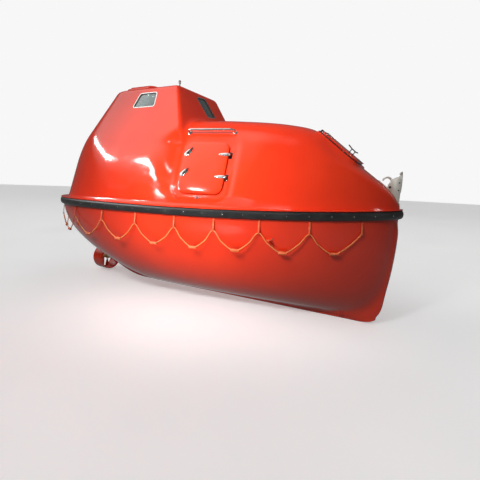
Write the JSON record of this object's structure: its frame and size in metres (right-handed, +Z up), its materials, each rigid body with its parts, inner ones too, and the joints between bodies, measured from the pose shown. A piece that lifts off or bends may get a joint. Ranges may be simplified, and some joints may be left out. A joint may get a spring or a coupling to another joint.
{
  "type": "enclosed lifeboat",
  "caption": "Small totally enclosed lifeboat with a raised helm tower aft, hinged hatches, lifting hooks, rope becket lifelines and a steering nozzle.",
  "frame": {"origin": "on the waterline, amidships on the centreline", "axes": "+X to the bow, +Y to port, +Z up"},
  "size_m": [5, 2.28, 2.932],
  "materials": {
    "gelcoat_orange": "high gloss gelcoat",
    "fender_rubber": "satin",
    "stainless": "polished",
    "bronze": "polished",
    "liner_cream": "satin",
    "seat_black": "grained",
    "window_pane": "clear, faint green",
    "rope_orange": "laid rope",
    "engine_paint": "semi gloss",
    "lamp_white": "clear lens"
  },
  "bodies": {
    "boat": {"hull": "gelcoat_orange", "canopy": "gelcoat_orange", "gunwale_flange": "gelcoat_orange", "fender": "fender_rubber", "side_hinge_starboard_upper": "stainless", "side_hinge_starboard_lower": "stainless", "side_hinge_port_upper": "stainless", "side_hinge_port_lower": "stainless", "bow_hatch_hinge": "stainless", "aft_hatch_hinge": "stainless", "roof_hatch_hinge": "stainless", "window_starboard": "window_pane", "window_port": "window_pane", "window_front": "window_pane", "cabin_sole": "liner_cream", "bench_starboard": "liner_cream", "bench_port": "liner_cream", "engine": "engine_paint", "helm_seat": "seat_black", "helm_console": "liner_cream", "bow_hook_frame": "stainless", "stern_hook_frame": "stainless", "rail_starboard": "stainless", "rail_port": "stainless", "position_lamp": "lamp_white", "lifeline_starboard": "rope_orange", "lifeline_port": "rope_orange"},
    "side_hatch_starboard": {"side_hatch_starboard": "gelcoat_orange", "dog_starboard_upper": "stainless", "dog_starboard_lower": "stainless"},
    "side_hatch_port": {"side_hatch_port": "gelcoat_orange", "dog_port_upper": "stainless", "dog_port_lower": "stainless"},
    "bow_hatch": {"bow_hatch": "gelcoat_orange", "bow_hatch_handle": "stainless"},
    "aft_hatch": {"aft_hatch": "gelcoat_orange", "aft_hatch_handle": "stainless"},
    "roof_hatch": {"roof_hatch": "gelcoat_orange"},
    "nozzle": {"steering_nozzle": "gelcoat_orange", "nozzle_stock": "stainless"},
    "propeller": {"propeller": "bronze", "propeller_shaft": "stainless"},
    "helm_wheel": {"helm_wheel": "seat_black"},
    "bow_hook_jaw": {"bow_hook_jaw": "stainless"},
    "stern_hook_jaw": {"stern_hook_jaw": "stainless"}
  },
  "joints": [
    {"name": "side_hatch_starboard_hinge", "type": "hinge", "parent": "boat", "child": "side_hatch_starboard", "pos_m": [0.70088, -0.73905, 1.10299], "axis": [-0.0723, 0.41, 0.9092], "range_deg": [0, 130]},
    {"name": "side_hatch_port_hinge", "type": "hinge", "parent": "boat", "child": "side_hatch_port", "pos_m": [0.70088, 0.73905, 1.10299], "axis": [0.0723, 0.41, -0.9092], "range_deg": [0, 130]},
    {"name": "bow_hatch_hinge", "type": "hinge", "parent": "boat", "child": "bow_hatch", "pos_m": [1.57718, 0, 1.56791], "axis": [0, -1, 0], "range_deg": [0, 110]},
    {"name": "aft_hatch_hinge", "type": "hinge", "parent": "boat", "child": "aft_hatch", "pos_m": [-1.50427, 0, 1.95643], "axis": [0, 1, 0], "range_deg": [0, 100]},
    {"name": "roof_hatch_hinge", "type": "hinge", "parent": "boat", "child": "roof_hatch", "pos_m": [-0.742, 0, 2.21], "axis": [0, 1, 0], "range_deg": [0, 100]},
    {"name": "nozzle_steer", "type": "hinge", "parent": "boat", "child": "nozzle", "pos_m": [-2.04, 0, -0.385], "axis": [0, 0, 1], "range_deg": [-35, 35]},
    {"name": "propeller_spin", "type": "hinge", "parent": "boat", "child": "propeller", "pos_m": [-2.04, 0, -0.385], "axis": [1, 0, 0], "continuous": true},
    {"name": "helm_turn", "type": "hinge", "parent": "boat", "child": "helm_wheel", "pos_m": [-0.64, 0, 1.26], "axis": [-0.9659, 0, 0.2588], "range_deg": [-361, 361]},
    {"name": "bow_hook_release", "type": "hinge", "parent": "boat", "child": "bow_hook_jaw", "pos_m": [2.336, 0, 0.966], "axis": [0, 1, 0], "range_deg": [0, 40]},
    {"name": "stern_hook_release", "type": "hinge", "parent": "boat", "child": "stern_hook_jaw", "pos_m": [-2.165, 0, 0.93], "axis": [0, -1, 0], "range_deg": [0, 40]}
  ],
  "couplings": [
    {"joint": "helm_turn", "follows": "nozzle_steer", "ratio": -10.286}
  ]
}
